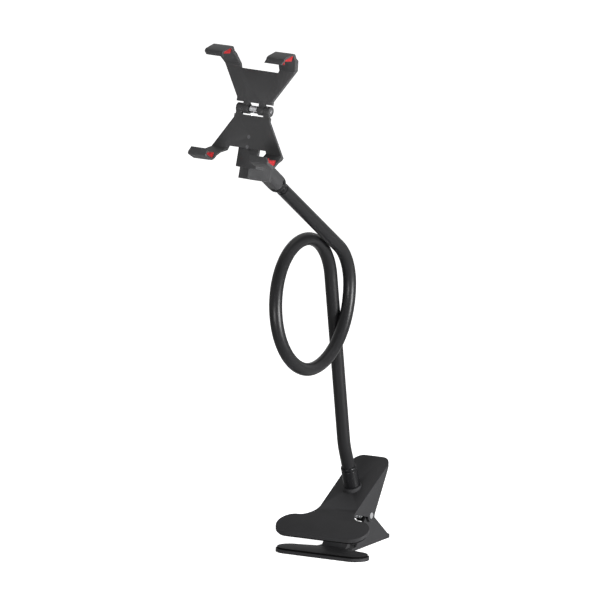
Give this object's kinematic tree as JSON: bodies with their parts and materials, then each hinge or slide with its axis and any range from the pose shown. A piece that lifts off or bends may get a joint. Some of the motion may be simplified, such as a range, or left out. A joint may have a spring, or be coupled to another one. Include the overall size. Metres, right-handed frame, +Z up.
{
  "type": "clip phone holder",
  "caption": "Sprung desk clamp with a looped gooseneck, a ball joint and a sprung clip whose red-lined claws hold a phone.",
  "frame": {"origin": "middle of the desk clamp's pivot pin", "axes": "+X along the pivot pin to the right as seen from the front, +Y to the back towards the handles, +Z up"},
  "size_m": [0.0893, 0.2506, 0.4379],
  "materials": {
    "clamp_plastic": "matte",
    "pad_rubber": "matte",
    "spring_steel": "polished",
    "tube_sleeve": "satin",
    "core_metal": "satin",
    "head_plastic": "satin",
    "white_plastic": "satin",
    "red_rubber": "satin"
  },
  "bodies": {
    "desk_clamp": {"clamp_upper_plate": "clamp_plastic", "clamp_upper_pad": "pad_rubber", "clamp_pin": "spring_steel", "clamp_spring_sleeve": "head_plastic", "clamp_spring": "spring_steel", "arm_foot_ring": "clamp_plastic", "arm_foot_ferrule": "head_plastic", "arm_foot_screw": "spring_steel", "gooseneck_foot": "tube_sleeve", "core_foot": "core_metal"},
    "lower_jaw": {"clamp_lower_plate": "clamp_plastic", "clamp_lower_pad": "pad_rubber"},
    "arm_lower": {"gooseneck_lower": "tube_sleeve", "core_lower": "core_metal"},
    "arm_loop": {"gooseneck_loop": "tube_sleeve", "core_loop": "core_metal"},
    "arm_upper": {"gooseneck_upper": "tube_sleeve", "core_upper": "core_metal"},
    "arm_tip": {"gooseneck_tip": "tube_sleeve", "core_tip": "core_metal", "gooseneck_top_cap": "head_plastic"},
    "ball": {"ball_stud": "spring_steel"},
    "collet": {"ball_collet": "white_plastic"},
    "head": {"ball_socket": "head_plastic", "bracket_screws": "spring_steel", "clip_lower_half": "head_plastic", "clip_pin": "spring_steel", "clip_spring": "spring_steel", "claw_pads_lower": "red_rubber"},
    "nut": {"ball_nut": "head_plastic"},
    "upper_claws": {"clip_upper_half": "head_plastic", "claw_pads_upper": "red_rubber"}
  },
  "joints": [
    {"name": "clamp_open", "type": "hinge", "parent": "desk_clamp", "child": "lower_jaw", "pos_m": [0, 0, 0], "axis": [1, 0, 0], "range_deg": [0, 40], "stiffness_Nm_per_rad": 1.2, "springref_deg": -20.05, "deforming": ["clamp_spring"]},
    {"name": "foot_bend_fore", "type": "hinge", "parent": "desk_clamp", "child": "arm_lower", "pos_m": [0, -0.01709, 0.07613], "axis": [1, 0, 0], "range_deg": [-25, 25]},
    {"name": "foot_bend_side", "type": "hinge", "parent": "arm_lower", "child": "arm_loop", "pos_m": [0, -0.02063, 0.09986], "axis": [0, 0.989, 0.1478], "range_deg": [-25, 25]},
    {"name": "head_bend_fore", "type": "hinge", "parent": "arm_loop", "child": "arm_upper", "pos_m": [0.0106, -0.0976, 0.26511], "axis": [1, 0, 0], "range_deg": [-25, 25]},
    {"name": "head_bend_side", "type": "hinge", "parent": "arm_upper", "child": "arm_tip", "pos_m": [0.0106, -0.11731, 0.27881], "axis": [0, 0.5707, 0.8211], "range_deg": [-25, 25]},
    {"name": "ball_turn", "type": "hinge", "parent": "arm_tip", "child": "ball", "pos_m": [0.0106, -0.13948, 0.29422], "axis": [0, -0.8211, 0.5707], "range_deg": [-90, 90]},
    {"name": "ball_tilt", "type": "hinge", "parent": "ball", "child": "collet", "pos_m": [0.0106, -0.13948, 0.29422], "axis": [1, 0, 0], "range_deg": [-22, 22]},
    {"name": "ball_roll", "type": "hinge", "parent": "collet", "child": "head", "pos_m": [0.0106, -0.13948, 0.29422], "axis": [0, -0.8211, 0.5707], "continuous": true},
    {"name": "nut_turn", "type": "hinge", "parent": "head", "child": "nut", "pos_m": [0.0106, -0.13948, 0.29422], "axis": [0, -0.8211, 0.5707], "range_deg": [-120, 120]},
    {"name": "clip_open", "type": "hinge", "parent": "head", "child": "upper_claws", "pos_m": [0.01038, -0.17341, 0.35918], "axis": [-0.9996, 0, 0.0297], "range_deg": [-25, 20], "stiffness_Nm_per_rad": 0.6, "deforming": ["clip_spring"]}
  ]
}
